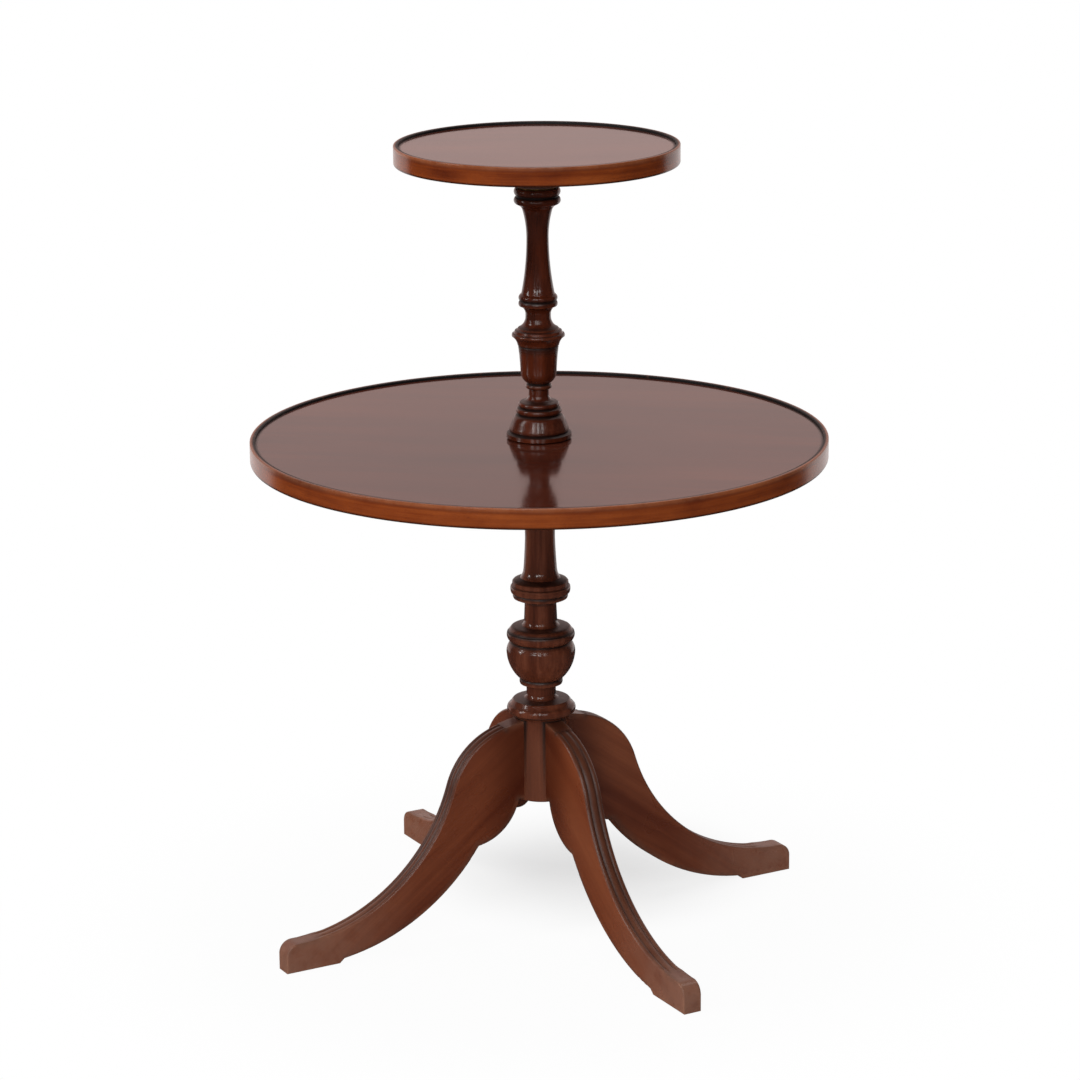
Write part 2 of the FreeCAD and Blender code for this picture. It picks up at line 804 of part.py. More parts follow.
def pivots():
    """Stud, pin, bushes and washers that the tiers turn on."""
    stud = cells["stud_radius"]
    pin = cells["pin_radius"]
    gap = cells["turning_gap"]
    thick = cells["washer_thick"]
    stud_length = cells["stud_below"] + cells["stud_above"]
    rod("centre_stud", lower_shoulder - cells["stud_below"], stud,
        stud_length + upper_column_foot - lower_shoulder)
    ring("lower_bush", lower_shoulder, stud + cells["glue_gap"], cells["bush_radius"],
         upper_column_foot - lower_shoulder)
    ring("lower_washer", lower_shoulder, cells["bush_radius"] + gap,
         cells["lower_washer_radius"], thick)
    rod("upper_pin", upper_shoulder - cells["pin_below"], pin,
        cells["pin_below"] + cells["pin_above"])
    ring("upper_washer", upper_shoulder, pin + gap, cells["upper_washer_radius"], thick)
    ring("upper_bush", boss_foot, pin + gap, cells["upper_bush_radius"],
         cells["upper_bush_length"])


# ---------------------------------------------------------------- build

def build():
    """Every piece, from the stand up."""
    lower_column()
    for label, turn in (("leg_front_left", 225.0), ("leg_front_right", 315.0),
                        ("leg_back_right", 45.0), ("leg_back_left", 135.0)):
        leg(label, turn)
    pivots()
    bearer()
    lower_board()
    rim("lower_tier_rim", "lower_rim", lower_board_foot)
    screws(new_body("lower_tier_screws", bearer_foot), "lower_screw",
           cells["lower_screw_sink"], zero)
    upper_column()
    boss()
    upper_board()
    rim("upper_tier_rim", "upper_rim", upper_board_foot)
    screws(new_body("upper_tier_screws", boss_foot), "upper_screw",
           cells["upper_screw_sink"], zero)
    doc.recompute()


def check():
    """Stop at any failed object and at any piece without a sound shape."""
    for item in doc.Objects:
        if "Invalid" in item.State or "Error" in item.State:
            raise RuntimeError("%s: %s" % (item.Label, item.State))
    for body in bodies:
        if body.Shape.isNull() or not body.Shape.isValid():
            raise RuntimeError(body.Label + " has no sound shape")


def export():
    """One STEP file for each piece."""
    os.makedirs("parts", exist_ok=True)
    for body in bodies:
        body.Shape.exportStep("parts/%s.step" % body.Label)
        print("%-20s %2d solids" % (body.Label, len(body.Shape.Solids)))


build()
check()
export()
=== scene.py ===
import math

import bmesh
import bpy
from mathutils import Matrix, Vector
from mathutils.kdtree import KDTree


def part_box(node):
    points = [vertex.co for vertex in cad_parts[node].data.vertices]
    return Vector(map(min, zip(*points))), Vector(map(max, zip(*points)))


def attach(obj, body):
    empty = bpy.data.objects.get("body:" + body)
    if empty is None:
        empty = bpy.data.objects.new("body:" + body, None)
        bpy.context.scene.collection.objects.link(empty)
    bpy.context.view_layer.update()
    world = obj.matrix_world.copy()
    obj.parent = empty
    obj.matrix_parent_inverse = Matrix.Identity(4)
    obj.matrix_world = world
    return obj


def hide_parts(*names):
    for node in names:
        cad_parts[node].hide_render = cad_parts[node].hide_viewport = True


# Mahogany dumb waiter: two round tiers that turn on a column with four sabre legs.
# Metres, Z up, origin on the floor under the column.

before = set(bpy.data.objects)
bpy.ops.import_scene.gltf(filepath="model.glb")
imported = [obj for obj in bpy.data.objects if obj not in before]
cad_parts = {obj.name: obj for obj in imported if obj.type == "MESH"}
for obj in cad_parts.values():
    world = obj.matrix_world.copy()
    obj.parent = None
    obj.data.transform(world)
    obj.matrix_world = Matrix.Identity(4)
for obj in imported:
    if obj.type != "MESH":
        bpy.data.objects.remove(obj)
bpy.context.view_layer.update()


# Shader maths as expressions: Value wraps a socket, Shader makes the nodes of a material

class Value:
    def __init__(self, shader, socket):
        self.shader = shader
        self.socket = socket

    def of(self, output):
        return Value(self.shader, self.socket.node.outputs[output])

    def math(self, operation, *others, clamp=False):
        sockets = dict(enumerate((self, *others)))
        settings = {"operation": operation, "use_clamp": clamp}
        return self.shader.node("ShaderNodeMath", settings, sockets)

    def __add__(self, other):
        return self.math("ADD", other)

    def __mul__(self, other):
        return self.math("MULTIPLY", other)

    def __sub__(self, other):
        return self.math("SUBTRACT", other)

    def __rsub__(self, other):
        return self.math("MULTIPLY_ADD", -1.0, other)

    __radd__ = __add__
    __rmul__ = __mul__

    def clamped(self):
        return self.math("ADD", 0.0, clamp=True)

    def between(self, low, high):  # 0 below low, 1 above high, smooth in the middle
        settings = {"interpolation_type": "SMOOTHSTEP"}
        sockets = {"Value": self, "From Min": low, "From Max": high}
        return self.shader.node("ShaderNodeMapRange", settings, sockets)

    def scaled(self, factors):  # a vector, stretched along each axis
        return self.shader.node("ShaderNodeVectorMath", {"operation": "MULTIPLY"}, {0: self, 1: factors})


class Shader:
    def __init__(self, tree):
        self.tree = tree
        tree.nodes.clear()

    def node(self, kind, settings=None, sockets=None, out=0):
        made = self.tree.nodes.new(kind)
        for key, setting in (settings or {}).items():
            if key == "stops":
                self.setStops(made.color_ramp, setting)
            else:
                setattr(made, key, setting)
        for key, given in (sockets or {}).items():
            if isinstance(given, Value):
                self.tree.links.new(given.socket, made.inputs[key])
            else:
                made.inputs[key].default_value = given
        return Value(self, made.outputs[out]) if made.outputs else None

    def setStops(self, ramp, stops):
        while len(ramp.elements) < len(stops):
            ramp.elements.new(0.5)
        for element, (place, colour) in zip(ramp.elements, stops):
            element.position = place
            element.color = colour

    def noise(self, vector, scale, detail=2.0, roughness=0.5):
        sockets = {"Vector": vector, "Scale": scale, "Detail": detail, "Roughness": roughness}
        return self.node("ShaderNodeTexNoise", None, sockets)

    def mix(self, share, first, second):
        return self.node("ShaderNodeMix", {"data_type": "RGBA"}, {0: share, 6: first, 7: second}, out=2)

    def ramp(self, value, stops):
        return self.node("ShaderNodeValToRGB", {"stops": stops}, {0: value})

    def attribute(self, name, out="Fac"):
        return self.node("ShaderNodeAttribute", {"attribute_name": name}, out=out)

    def part(self, vector, axis):
        return self.node("ShaderNodeSeparateXYZ", None, {0: vector}, out=axis)

    def length(self, vector):
        return self.node("ShaderNodeVectorMath", {"operation": "LENGTH"}, {0: vector}, out="Value")


def newMaterial(name):
    material = bpy.data.materials.new(name)
    material.use_nodes = True
    return material, Shader(material.node_tree)


def colour(red, green, blue):  # 0 to 255 as seen on a screen, to the linear value that a shader takes
    def linear(level):
        share = level / 255
        return share / 12.92 if share < 0.04045 else ((share + 0.055) / 1.055) ** 2.4
    return (linear(red), linear(green), linear(blue), 1.0)


# Mahogany, from the colours of one piece. Its pattern reads the attribute grain, whose
# first axis runs along the wood, and wear with painted highlight on arrises and grime with painted shade in
# hollows, which each piece gets when it is made.

# dark, mid and light are the wood; worn is wear with painted highlight on arrises; grime is grime with
# painted shade
mahoganies = {
    "columnMahogany": {
        "slot": "column_mahogany",
        "dark": colour(36, 12, 6), "mid": colour(68, 26, 12), "light": colour(98, 42, 22),
        "wornAndHighlit": colour(136, 80, 56), "grimeAndShadeColour": colour(12, 5, 3), "wornAndHighlitShare": 0.13, "grimeAndShadeShare": 0.9,
        "figure": (3.0, 16.0, 16.0), "roughness": 0.15, "ripple": 0.1,
    },
    # the column wood painted lighter for the lower column, for the light that reaches it
    "litColumnMahogany": {
        "slot": "column_mahogany",
        "dark": colour(46, 19, 11), "mid": colour(84, 40, 25), "light": colour(122, 68, 47),
        "wornAndHighlit": colour(140, 90, 68), "grimeAndShadeColour": colour(10, 5, 4), "wornAndHighlitShare": 0.13, "grimeAndShadeShare": 0.9,
        "figure": (3.0, 16.0, 16.0), "roughness": 0.15, "ripple": 0.1,
    },
    "legMahogany": {
        "slot": "leg_mahogany",
        "dark": colour(98, 43, 22), "mid": colour(120, 60, 34), "light": colour(138, 75, 45),
        "wornAndHighlit": colour(158, 112, 86), "grimeAndShadeColour": colour(44, 24, 17), "wornAndHighlitShare": 0.22, "grimeAndShadeShare": 0.45,
        "figure": (3.0, 16.0, 16.0), "roughness": 0.28, "ripple": 0.2,
    },
    "tierMahogany": {
        "slot": "tier_mahogany",
        "dark": colour(62, 26, 18), "mid": colour(80, 36, 25), "light": colour(98, 48, 33),
        "wornAndHighlit": colour(130, 80, 56), "grimeAndShadeColour": colour(18, 8, 6), "wornAndHighlitShare": 0.17, "grimeAndShadeShare": 0.9,
        "figure": (3.0, 16.0, 16.0), "roughness": 0.09, "ripple": 0.03,
    },
    "rimMahogany": {
        "slot": "rim_mahogany",
        "dark": colour(82, 27, 6), "mid": colour(122, 53, 16), "light": colour(148, 72, 26),
        "wornAndHighlit": colour(160, 104, 70), "grimeAndShadeColour": colour(12, 4, 3), "wornAndHighlitShare": 0.36, "grimeAndShadeShare": 1.0,
        "figure": (11.0, 24.0, 24.0), "roughness": 0.18, "ripple": 0.08,
    },
    "undersideMahogany": {
        "slot": "underside_mahogany",
        "dark": colour(56, 28, 18), "mid": colour(88, 50, 33), "light": colour(112, 70, 48),
        "wornAndHighlit": colour(130, 92, 68), "grimeAndShadeColour": colour(20, 10, 8), "wornAndHighlitShare": 0.3, "grimeAndShadeShare": 0.8,
        "figure": (3.0, 16.0, 16.0), "roughness": 0.55, "ripple": 0.3,
    },
}
woodPattern = {  # how fine each layer is along the wood and across it, and what it adds to the tone
    "ribbon": (5.0, 95.0, 95.0), "ribbonShare": 0.55,
    "streak": (14.0, 520.0, 520.0), "streakShare": 0.35,
    "pores": (210.0, 3600.0, 3600.0), "poreDepth": 0.45,
    "figureShare": 0.9, "stops": (0.25, 0.5, 0.78),
}


def woodColour(shader, look, grain, pores):
    figure = shader.noise(grain.scaled(look["figure"]), 1.0, 3.0, 0.55)
    ribbon = shader.noise(grain.scaled(woodPattern["ribbon"]), 1.0, 2.0, 0.5)
    streak = shader.noise(grain.scaled(woodPattern["streak"]), 1.0, 4.0, 0.65)
    tone = figure * woodPattern["figureShare"] + ribbon * woodPattern["ribbonShare"]
    tone = (tone + streak * woodPattern["streakShare"] - 0.4).clamped()
    wood = shader.ramp(tone, list(zip(woodPattern["stops"], (look["dark"], look["mid"], look["light"]))))
    relief = streak * 0.5 - pores * 0.8 + ribbon * 0.6
    return shader.mix(pores * woodPattern["poreDepth"], wood, look["dark"]), relief


rimReflectionAndShade = {
    "line": (0.68, 0.8, 0.9),  # share of the height at which a rim's face is darkest, a painted dark reflection under its rounded top
    "lineShare": 0.55,
    "outside": (0.0, 0.003),  # metres from the inner wall over which that starts
    "foot": (0.04, 0.17),  # share of the height over which the painted shade along the foot ends
    "footShare": 0.85,
}


def paintRimReflectionAndShade(shader, away, look, wood):  # painted dark reflection under a rim's top, and painted shade along its foot
    rise = shader.attribute("rise")
    low, middle, high = rimReflectionAndShade["line"]
    line = rise.between(low, middle) * (1.0 - rise.between(middle, high)) * rimReflectionAndShade["lineShare"]
    wood = shader.mix(line * away.between(*rimReflectionAndShade["outside"]), wood, look["dark"])
    return shader.mix((1.0 - rise.between(*rimReflectionAndShade["foot"])) * rimReflectionAndShade["footShare"], wood, look["grimeAndShadeColour"])


legSheenShadeDust = {  # the reaches are metres from the axis
    # painted sheen: grey reflection of the sky on the upper side of each leg
    "reedSheen": colour(50, 38, 32), "reedShare": 0.55,
    # painted shade on the legs beside the hub
    "deep": colour(56, 15, 5), "deepReach": (0.034, 0.092), "deepShare": 0.65,
    "dust": colour(150, 110, 92), "dustReach": (0.14, 0.32), "dustShare": 0.6,
}


def paintLegSheenShadeDust(shader, place, across, wood):  # painted grey sheen on the reeds, painted shade by the hub, and dust on the feet
    reeded = shader.attribute("reeded") * legSheenShadeDust["reedShare"]
    dusty = across.between(*legSheenShadeDust["dustReach"]) * legSheenShadeDust["dustShare"]
    deep = (1.0 - across.between(*legSheenShadeDust["deepReach"])) * (1.0 - reeded) * legSheenShadeDust["deepShare"]
    wood = shader.mix(deep, shader.mix(reeded * (1.0 - dusty), wood, legSheenShadeDust["reedSheen"]), legSheenShadeDust["deep"])
    blotch = shader.noise(place, 45.0, 4.0, 0.6).between(0.3, 0.6) * 0.5 + 0.5
    return shader.mix(dusty * blotch, wood, legSheenShadeDust["dust"]), 1.0 - dusty


columnLightAndShade = {
    "ledge": (0.55, 0.9),  # height of a face's normal from which it gets painted shade, on ledges that face up under the tier
    "ledgeShare": 0.8,
    "hubTop": (0.2, 0.25),  # heights over which the painted light on the hub ends
    "hubPaintedLight": colour(124, 74, 54),
    "hubShare": 0.42,
}
boardAge = {
    "under": (-0.7, -0.3),  # height of a face's normal below which it was never polished
    "underShare": 0.8,
    "underRough": 0.5,
}
wearGrimeShadePattern = {
    "soiledAndShaded": (0.1, 0.42),  # levels of the noise between which patches of grime and painted shade begin
    "rubbedAndHighlit": (0.3, 0.62),
    "steady": 0.45,  # share of the wear and painted highlight that has no patches
    "corner": (-0.0045, -0.0003, 0.0014, 0.0044),  # metres from a rim's inner wall, where shade is painted into the corner
}


def mahogany(name, look):
    material, shader = newMaterial(name)
    grain = shader.attribute("grain", "Vector")
    place = shader.node("ShaderNodeTexCoord", out="Object")
    across = shader.length(place.scaled((1.0, 1.0, 0.0)))
    away = across - shader.attribute("edge")
    pores = shader.noise(grain.scaled(woodPattern["pores"]), 1.0, 1.0, 0.5).between(0.6, 0.7)
    wood, relief = woodColour(shader, look, grain, pores)
    if name == "rimMahogany":
        wood = paintRimReflectionAndShade(shader, away, look, wood)
    # grime, with painted shade, near hollows and creases
    dirt = shader.attribute("dirt")
    up = shader.part(shader.node("ShaderNodeNewGeometry", out="Normal"), "Z")
    if name == "legMahogany":
        wood, clean = paintLegSheenShadeDust(shader, place, across, wood)
        dirt = dirt * clean
    if name in ("columnMahogany", "litColumnMahogany"):
        # painted shade on faces that look up, under the tier
        dirt = dirt + up.between(*columnLightAndShade["ledge"]) * columnLightAndShade["ledgeShare"]
    # painted light: the hub paler than the shaft above it, which is in the tier's shade
    if name == "litColumnMahogany":
        film = (1.0 - shader.part(place, "Z").between(*columnLightAndShade["hubTop"])) * columnLightAndShade["hubShare"]
        wood = shader.mix(film, wood, columnLightAndShade["hubPaintedLight"])
    patchy = shader.noise(grain, 60.0, 4.0, 0.65)
    steady = wearGrimeShadePattern["steady"]
    # wear, with painted highlight, along arrises in patches
    rubbedAndHighlit = patchy.between(*wearGrimeShadePattern["rubbedAndHighlit"]) * (1.0 - steady) + steady
    wornAndHighlit = (shader.attribute("wear") * rubbedAndHighlit * look["wornAndHighlitShare"]).clamped()
    start, full, still, end = wearGrimeShadePattern["corner"]
    # painted shade in the corner inside a rim
    corner = away.between(start, full) * (1.0 - away.between(still, end))
    # grime and painted shade, mixed toward the grime colour
    soiledAndShaded = (dirt + corner).clamped() * patchy.between(*wearGrimeShadePattern["soiledAndShaded"]) * look["grimeAndShadeShare"]
    soiledAndShaded = soiledAndShaded.clamped()
    wood = shader.mix(soiledAndShaded, shader.mix(wornAndHighlit, wood, look["wornAndHighlit"]), look["grimeAndShadeColour"])
    smudge = shader.noise(grain, 9.0, 3.0, 0.6)
    roughness = smudge * 0.1 + wornAndHighlit * 0.2 + soiledAndShaded * 0.35 + pores * 0.06 + (look["roughness"] - 0.05)
    if name == "tierMahogany":
        under = 1.0 - up.between(*boardAge["under"])
        wood = shader.mix(under * boardAge["underShare"], wood, mahoganies["undersideMahogany"]["mid"])
        roughness = roughness + under * boardAge["underRough"]
    bump = shader.node("ShaderNodeBump", None, {
        "Strength": look["ripple"], "Distance": 0.0004, "Height": relief,
    })
    surface = shader.node("ShaderNodeBsdfPrincipled", None, {
        "Base Color": wood, "Roughness": roughness.clamped(), "Normal": bump, "IOR": 1.5,
    })
    shader.node("ShaderNodeOutputMaterial", None, {"Surface": surface})
    return material


metals = {
    "turnedBrass": {"bright": colour(206, 168, 96), "dull": colour(140, 100, 52), "roughness": 0.3},
    "turnedSteel": {"bright": colour(176, 174, 170), "dull": colour(104, 100, 96), "roughness": 0.36},
}


def turnedMetal(name, look):
    material, shader = newMaterial(name)
    place = shader.node("ShaderNodeTexCoord", out="Object")
    rings = shader.noise(place.scaled((20.0, 20.0, 2400.0)), 1.0, 2.0, 0.5)
    tarnish = shader.noise(place, 120.0, 4.0, 0.6).between(0.4, 0.7)
    bump = shader.node("ShaderNodeBump", None, {"Strength": 0.15, "Distance": 0.0002, "Height": rings})
    surface = shader.node("ShaderNodeBsdfPrincipled", None, {
        "Base Color": shader.mix(tarnish, look["bright"], look["dull"]), "Metallic": 1.0,
        "Roughness": tarnish * 0.2 + rings * 0.1 + look["roughness"], "Normal": bump,
    })
    shader.node("ShaderNodeOutputMaterial", None, {"Surface": surface})
    return material


finishes = {name: mahogany(name, look) for name, look in mahoganies.items()}
finishes.update({name: turnedMetal(name, look) for name, look in metals.items()})
print("materials made:", len(finishes))


# Polished pieces: a welded copy of the node, cut fine enough to carry its wear and painted highlight on
# arrises and its grime and painted shade in hollows

edgeWork = {
    "weld": 0.000004,
    "sharp": math.radians(32),  # fold from which an edge is drawn as a line
    "crease": 350.0,  # curvature from which an arris gets wear and painted highlight, and a hollow grime and painted shade, in 1/m
    "spacing": 0.0015,  # metres between the places along an edge that wear is measured from
    "wearReach": 0.0016,
    "dirtReach": 0.0022,
    "rounds": 4,  # of cutting long edges in two
    "flats": 60,  # how much the larger faces lead the normals
}


def weld(source):
    shape = bmesh.new()
    corners = [shape.verts.new(vertex.co) for vertex in source.vertices]
    for face in source.polygons:
        shape.faces.new([corners[i] for i in face.vertices])
    bmesh.ops.remove_doubles(shape, verts=shape.verts, dist=edgeWork["weld"])
    shape.normal_update()
    return shape


def cutFine(shape, longest):
    for _ in range(edgeWork["rounds"]):
        edges = [edge for edge in shape.edges if edge.calc_length() > longest]
        if not edges:
            return
        bmesh.ops.subdivide_edges(shape, edges=edges, cuts=1)
        bmesh.ops.triangulate(shape, faces=[f for f in shape.faces if len(f.verts) > 3])


def edgeCurvature(edge):  # fold of an edge over the width of its two faces, above zero on an arris
    width = sum(face.calc_area() for face in edge.link_faces) / max(edge.calc_length(), 1e-7)
    return edge.calc_face_angle_signed(0.0) / max(width, 1e-6)


def edgeTree(shape, wanted):
    places = []
    for edge in shape.edges:
        if edge.is_manifold and wanted(edgeCurvature(edge)):
            start, end = (vertex.co for vertex in edge.verts)
            steps = max(1, int((end - start).length / edgeWork["spacing"]))
            places += [start.lerp(end, i / steps) for i in range(steps + 1)]
    tree = KDTree(len(places))
    for i, place in enumerate(places):
        tree.insert(place, i)
    tree.balance()
    return tree


def nearness(tree, place, reach):
    distance = tree.find(place)[2]
    return 0.0 if distance is None else math.exp(-(distance / reach) ** 2)


def addLayer(mesh, name, levels):
    mesh.attributes.new(name, "FLOAT", "POINT").data.foreach_set("value", levels)


def newPiece(mesh, finish):
    piece = bpy.data.objects.new(mesh.name, mesh)
    bpy.context.scene.collection.objects.link(piece)
    piece.data.materials.clear()
    piece.data.materials.append(finishes[finish])
    return piece


def evenNormals(piece):  # flats stay flat beside rounded arrises
    modifier = piece.modifiers.new("evenNormals", "WEIGHTED_NORMAL")
    modifier.keep_sharp = True
    modifier.weight = edgeWork["flats"]


def addGrain(mesh, along, offset):  # coordinates whose first axis runs along the wood
    first = Vector(along).normalized()
    second = first.cross(Vector((0.31, -0.82, 0.47))).normalized()
    third = first.cross(second)
    layer = mesh.attributes.new("grain", "FLOAT_VECTOR", "POINT")
    start = Vector(offset)
    places = []
    for vertex in mesh.vertices:
        place = vertex.co + start
        places += (place.dot(first), place.dot(second), place.dot(third))
    layer.data.foreach_set("vector", places)


def addRoundGrain(mesh, radius, offset):  # the same, with the wood bent round the rim
    layer = mesh.attributes.new("grain", "FLOAT_VECTOR", "CORNER")
    places = []
    for face in mesh.polygons:
        middle = math.atan2(face.center.y, face.center.x)
        for i in face.vertices:
            place = mesh.vertices[i].co
            turn = (math.atan2(place.y, place.x) - middle + math.pi) % (2 * math.pi) - math.pi
            across = math.hypot(place.x, place.y)
            places += ((middle + turn) * radius + offset, across + offset, place.z + offset)
    layer.data.foreach_set("vector", places)


def polish(source, nodeName, body, finish, giveGrain, longest=None, reshape=None):
    shape = weld(source)
    if reshape:
        reshape(shape)
    arrises = edgeTree(shape, lambda bend: bend > edgeWork["crease"])
    hollows = edgeTree(shape, lambda bend: bend < -edgeWork["crease"])
    for edge in shape.edges:
        edge.smooth = edge.calc_face_angle(0.0) < edgeWork["sharp"]
    for face in shape.faces:
        face.smooth = True
    if longest:
        cutFine(shape, longest)
    mesh = bpy.data.meshes.new(nodeName + "_polished")
    shape.to_mesh(mesh)
    shape.free()
    giveGrain(mesh)
    if "edge" not in mesh.attributes:
        addLayer(mesh, "edge", [1.0] * len(mesh.vertices))
    for kind, tree in (("wear", arrises), ("dirt", hollows)):
        reach = edgeWork[kind + "Reach"]
        addLayer(mesh, kind, [nearness(tree, vertex.co, reach) for vertex in mesh.vertices])
    piece = newPiece(mesh, finish)
    evenNormals(piece)
    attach(piece, body)
    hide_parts(nodeName)


def polishedCopy(nodeName, body, finish, along, offset, reshape=None):
    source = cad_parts[nodeName].data
    polish(source, nodeName, body, finish, lambda mesh: addGrain(mesh, along, offset), reshape=reshape)


# Columns: the wood runs up them

columns = {
    "lower_column": {"finish": "litColumnMahogany", "offset": (0.0, 0.0, 0.0)},
    "upper_column": {"finish": "columnMahogany", "offset": (0.4, 0.7, 0.3)},
}
bell = {
    "middle": 0.016,  # height above the upper column's foot
    "half": 0.0091,
    "swell": 0.003,  # how far it is rounded out at its middle
    "rows": 26,
    "inside": 0.02,  # the bore, nearer to the axis than this, keeps its size
}


def roundBell(shape):  # the bell at the foot of the upper column is full, where the solid has a cone
    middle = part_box("upper_column")[0][2] + bell["middle"]
    for row in range(bell["rows"] + 1):
        height = middle + bell["half"] * (2.0 * row / bell["rows"] - 1.0)
        everything = shape.verts[:] + shape.edges[:] + shape.faces[:]
        bmesh.ops.bisect_plane(shape, geom=everything, dist=1e-7,
                               plane_co=(0.0, 0.0, height), plane_no=(0.0, 0.0, 1.0))
    bmesh.ops.triangulate(shape, faces=[face for face in shape.faces if len(face.verts) > 3])
    for corner in shape.verts:
        reach = math.hypot(corner.co.x, corner.co.y)
        share = 1.0 - ((corner.co.z - middle) / bell["half"]) ** 4
        if share > 0.0 and reach > bell["inside"]:
            stretch = 1.0 + bell["swell"] * share / reach
            corner.co.x *= stretch
            corner.co.y *= stretch
    shape.normal_update()


for nodeName, column in columns.items():
    reshape = roundBell if nodeName == "upper_column" else None
    polishedCopy(nodeName, "stand", column["finish"], (0.0, 0.0, 1.0), column["offset"], reshape)
print("columns polished")


# Legs: sawn from straight boards, so the wood runs down each from knee to foot

legs = {
    "turns": {
        "leg_front_left": 225.0, "leg_front_right": 315.0, "leg_back_right": 45.0, "leg_back_left": 135.0,
    },
    "slope": -0.72,  # how steeply the wood falls
    "longest": 0.008,
}


def addReeded(mesh, outward):  # 1 on the upper side of a leg, 0 on its flanks and below
    sideways = outward.cross(Vector((0.0, 0.0, 1.0)))
    levels = []
    for vertex in mesh.vertices:
        flank = abs(vertex.normal.dot(sideways))
        upper = vertex.normal.z + vertex.normal.dot(outward) > 0.0
        levels.append(min(1.0, max(0.0, (0.9 - flank) * 4.0)) if upper else 0.0)
    addLayer(mesh, "reeded", levels)


def makeLeg(nodeName, turn):
    angle = math.radians(turn)
    outward = Vector((math.cos(angle), math.sin(angle), 0.0))
    offset = (angle * 0.31, angle * 0.17, angle * 0.53)

    def giveGrain(mesh):
        addGrain(mesh, outward + Vector((0.0, 0.0, legs["slope"])), offset)
        addReeded(mesh, outward)

    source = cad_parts[nodeName].data
    polish(source, nodeName, "stand", "legMahogany", giveGrain, legs["longest"])


for nodeName, turn in legs["turns"].items():
    makeLeg(nodeName, turn)
print("legs polished")


# Tiers: boards with their wood running across, and rims bent round them

tiers = {  # along is the way the wood runs, and edge is where the board meets its rim
    "lower_tier": {
        "along": (1.0, 0.12, 0.0), "offset": (0.2, 0.5, 0.1), "edge": 0.29945,
        "rim": {"radius": 0.305, "width": 0.0055, "depth": 0.0218, "foot": 0.5215, "offset": 0.3},
    },
    "upper_tier": {
        "along": (0.96, 0.3, 0.0), "offset": (0.9, 0.1, 0.6), "edge": 0.14365,
        "rim": {"radius": 0.1487, "width": 0.005, "depth": 0.0203, "foot": 0.8329, "offset": 0.8},
    },
}
rimShape = {
    "round": 0.0019,  # radius of the two upper edges
    "arris": 0.0012,  # radius of the two lower ones
    "steps": 6,
    "segments": 288,
    "longest": 0.007,
}


class Tree(Shader):  # the same shorthand for a tree of Geometry Nodes
    def __init__(self, name, inputs):
        super().__init__(bpy.data.node_groups.new(name, "GeometryNodeTree"))
        self.names = {}
        for title, (kind, default) in inputs.items():
            socket = self.tree.interface.new_socket(title, in_out="INPUT", socket_type=kind)
            if default is not None:
                socket.default_value = default
            self.names[title] = socket.identifier
        self.tree.interface.new_socket("Geometry", in_out="OUTPUT", socket_type="NodeSocketGeometry")
        self.inputs = self.tree.nodes.new("NodeGroupInput")

    def given(self, title):
        return Value(self, self.inputs.outputs[title])

    def lifted(self, geometry, height):
        lift = self.node("ShaderNodeCombineXYZ", None, {"Z": height})
        return self.node("GeometryNodeTransform", None, {"Geometry": geometry, "Translation": lift})

    def finish(self, geometry):
        realized = self.node("GeometryNodeRealizeInstances", None, {0: geometry})
        sockets = {"Geometry": realized, "Material": self.given("Material")}
        self.node("NodeGroupOutput", None, {0: self.node("GeometryNodeSetMaterial", None, sockets)})


def grow(tree, name, settings):  # the mesh that a tree makes from its settings
    mesh = bpy.data.meshes.new(name)
    holder = bpy.data.objects.new(name, mesh)
    bpy.context.scene.collection.objects.link(holder)
    modifier = holder.modifiers.new("grown", "NODES")
    modifier.node_group = tree.tree
    for title, value in settings.items():
        modifier[tree.names[title]] = value
    bpy.context.view_layer.update()
    grown = bpy.data.meshes.new_from_object(holder.evaluated_get(bpy.context.evaluated_depsgraph_get()))
    bpy.data.objects.remove(holder)
    bpy.data.meshes.remove(mesh)
    grown.name = name
    return grown


def rimTree():
    tree = Tree("roundedRim", {
        "Radius": ("NodeSocketFloat", 0.3), "Width": ("NodeSocketFloat", 0.005),
        "Depth": ("NodeSocketFloat", 0.02), "Foot": ("NodeSocketFloat", 0.5),
        "Material": ("NodeSocketMaterial", None),
    })
    width, depth = tree.given("Width"), tree.given("Depth")
    section = tree.node("GeometryNodeCurvePrimitiveQuadrilateral", None, {"Width": width, "Height": depth})
    atTop = tree.part(tree.node("GeometryNodeInputPosition"), "Y").math("GREATER_THAN", 0.0)
    bend = atTop * (rimShape["round"] - rimShape["arris"]) + rimShape["arris"]
    rounded = tree.node("GeometryNodeFilletCurve", {"mode": "POLY"}, {
        "Curve": section, "Radius": bend, "Count": rimShape["steps"], "Limit Radius": True,
    })
    path = tree.node("GeometryNodeCurvePrimitiveCircle", None, {
        "Resolution": rimShape["segments"], "Radius": tree.given("Radius") - width * 0.5,
    })
    ring = tree.node("GeometryNodeCurveToMesh", None, {"Curve": path, "Profile Curve": rounded})
    tree.finish(tree.lifted(ring, tree.given("Foot") + depth * 0.5))
    return tree


def makeRim(tree, body, rim):
    source = grow(tree, body + "_rim_source", {
        "Radius": rim["radius"], "Width": rim["width"], "Depth": rim["depth"],
        "Foot": rim["foot"], "Material": finishes["rimMahogany"],
    })
    inside = rim["radius"] - rim["width"]

    def giveGrain(mesh):
        addRoundGrain(mesh, rim["radius"], rim["offset"])
        addLayer(mesh, "edge", [inside] * len(mesh.vertices))
        addLayer(mesh, "rise", [(vertex.co.z - rim["foot"]) / rim["depth"] for vertex in mesh.vertices])

    polish(source, body + "_rim", body, "rimMahogany", giveGrain, rimShape["longest"])


